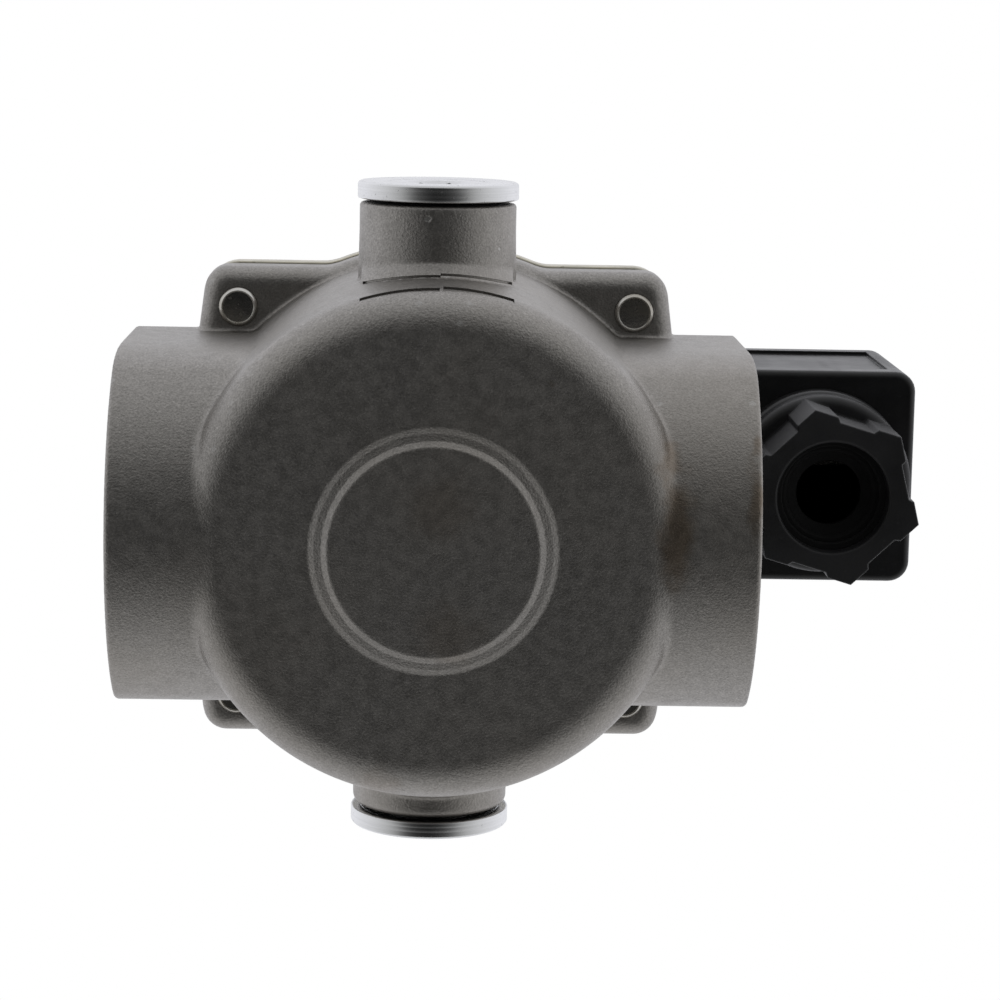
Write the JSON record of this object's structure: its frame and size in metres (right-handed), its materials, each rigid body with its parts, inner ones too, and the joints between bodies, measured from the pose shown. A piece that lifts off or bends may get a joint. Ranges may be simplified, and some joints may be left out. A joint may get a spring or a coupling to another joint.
{
  "type": "gas solenoid valve",
  "caption": "Die-cast gas solenoid valve with threaded pipe ports, a plug-in electrical connector on its coil, and side test plugs.",
  "frame": {"origin": "centre of the round pad's flat face under the bowl", "axes": "+Z along the plunger towards the coil, +X along the flow from inlet to outlet, on the connector's side"},
  "size_m": [0.0965, 0.0742, 0.1064],
  "materials": {
    "cast_body": "sand-blasted die casting, matte, faint stains",
    "zinc_plate": "zinc passivated steel, slightly yellow",
    "fastener": "zinc plated, satin",
    "machined_plug": "turned, bright, faint lathe rings",
    "steel_internal": "ground stainless steel",
    "copper": "enamelled copper and bare copper",
    "contact": "tinned brass",
    "black_plastic": "black moulded plastic, fine texture",
    "seal_rubber": "black nitrile rubber",
    "pale_plastic": "natural nylon or PTFE",
    "blank_label": "blank silvery film"
  },
  "bodies": {
    "root": {"valve_body": "cast_body", "inlet_strainer": "steel_internal", "body_oring": "seal_rubber", "cover_plate": "zinc_plate", "cover_screw_1": "fastener", "cover_screw_2": "fastener", "cover_screw_3": "fastener", "cover_screw_4": "fastener", "cover_washer_1": "fastener", "cover_washer_2": "fastener", "cover_washer_3": "fastener", "cover_washer_4": "fastener", "armature_tube": "steel_internal", "tube_oring": "seal_rubber", "fixed_core": "steel_internal", "shading_ring": "copper", "return_spring": "steel_internal", "coil_oring": "seal_rubber"},
    "plunger_assembly": {"plunger": "steel_internal", "guide_ring": "pale_plastic", "valve_disc": "steel_internal", "disc_seal": "seal_rubber", "disc_nut": "fastener"},
    "coil": {"coil_housing": "black_plastic", "yoke_bottom": "steel_internal", "yoke_can": "steel_internal", "yoke_top": "steel_internal", "coil_bobbin": "pale_plastic", "coil_winding": "copper", "coil_label": "blank_label", "terminal_pin_1": "contact", "terminal_pin_2": "contact", "terminal_pin_earth": "contact"},
    "coil_washer": {"coil_washer": "fastener"},
    "coil_nut": {"coil_nut": "fastener"},
    "connector": {"connector_housing": "black_plastic", "terminal_insert": "black_plastic", "contact_1": "contact", "contact_2": "contact", "contact_earth": "contact", "connector_gasket": "seal_rubber", "screw_oring": "seal_rubber", "gland_grommet": "seal_rubber"},
    "connector_screw": {"connector_screw": "fastener"},
    "gland_washer": {"gland_washer": "black_plastic"},
    "gland_nut": {"gland_nut": "black_plastic"},
    "front_oring": {"front_plug_oring": "seal_rubber"},
    "front_plug": {"test_plug_front": "machined_plug"},
    "back_oring": {"back_plug_oring": "seal_rubber"},
    "back_plug": {"test_plug_back": "machined_plug"}
  },
  "joints": [
    {"name": "plunger_stroke", "type": "slide", "parent": "root", "child": "plunger_assembly", "axis": [0, 0, 1], "range_m": [0, 0.0055], "deforming": ["return_spring"]},
    {"name": "coil_swivel", "type": "hinge", "parent": "root", "child": "coil", "pos_m": [0, 0, 0.0234], "axis": [0, 0, 1], "continuous": true},
    {"name": "coil_washer_lift", "type": "slide", "parent": "root", "child": "coil_washer", "axis": [0, 0, 1], "range_m": [0, 0.0052]},
    {"name": "coil_nut_turn", "type": "hinge", "parent": "coil_washer", "child": "coil_nut", "pos_m": [0, 0, 0.0954], "axis": [0, 0, 1], "range_deg": [0, 1800]},
    {"name": "connector_unplug", "type": "slide", "parent": "coil", "child": "connector", "axis": [1, 0, 0], "range_m": [0, 0.025]},
    {"name": "connector_screw_turn", "type": "hinge", "parent": "connector", "child": "connector_screw", "pos_m": [0.058, 0, 0.0735], "axis": [1, 0, 0], "continuous": true},
    {"name": "gland_washer_slide", "type": "slide", "parent": "connector", "child": "gland_washer", "axis": [0, 0, -1], "range_m": [0, 0.0055]},
    {"name": "gland_nut_turn", "type": "hinge", "parent": "gland_washer", "child": "gland_nut", "pos_m": [0.0486, 0, 0.0494], "axis": [0, 0, -1], "range_deg": [0, 1350]},
    {"name": "front_oring_slide", "type": "slide", "parent": "root", "child": "front_oring", "axis": [0, -1, 0], "range_m": [0, 0.0056]},
    {"name": "front_plug_turn", "type": "hinge", "parent": "front_oring", "child": "front_plug", "pos_m": [0, -0.036, 0.0234], "axis": [0, -1, 0], "range_deg": [0, 1440]},
    {"name": "back_oring_slide", "type": "slide", "parent": "root", "child": "back_oring", "axis": [0, 1, 0], "range_m": [0, 0.0056]},
    {"name": "back_plug_turn", "type": "hinge", "parent": "back_oring", "child": "back_plug", "pos_m": [0, 0.033, 0.0234], "axis": [0, 1, 0], "range_deg": [0, 1440]}
  ],
  "couplings": [
    {"joint": "coil_washer_lift", "follows": "coil_nut_turn", "m_per_rad": 0.00015915},
    {"joint": "gland_washer_slide", "follows": "gland_nut_turn", "m_per_rad": 0.00022457},
    {"joint": "front_oring_slide", "follows": "front_plug_turn", "m_per_rad": 0.00021279},
    {"joint": "back_oring_slide", "follows": "back_plug_turn", "m_per_rad": 0.00021279}
  ]
}
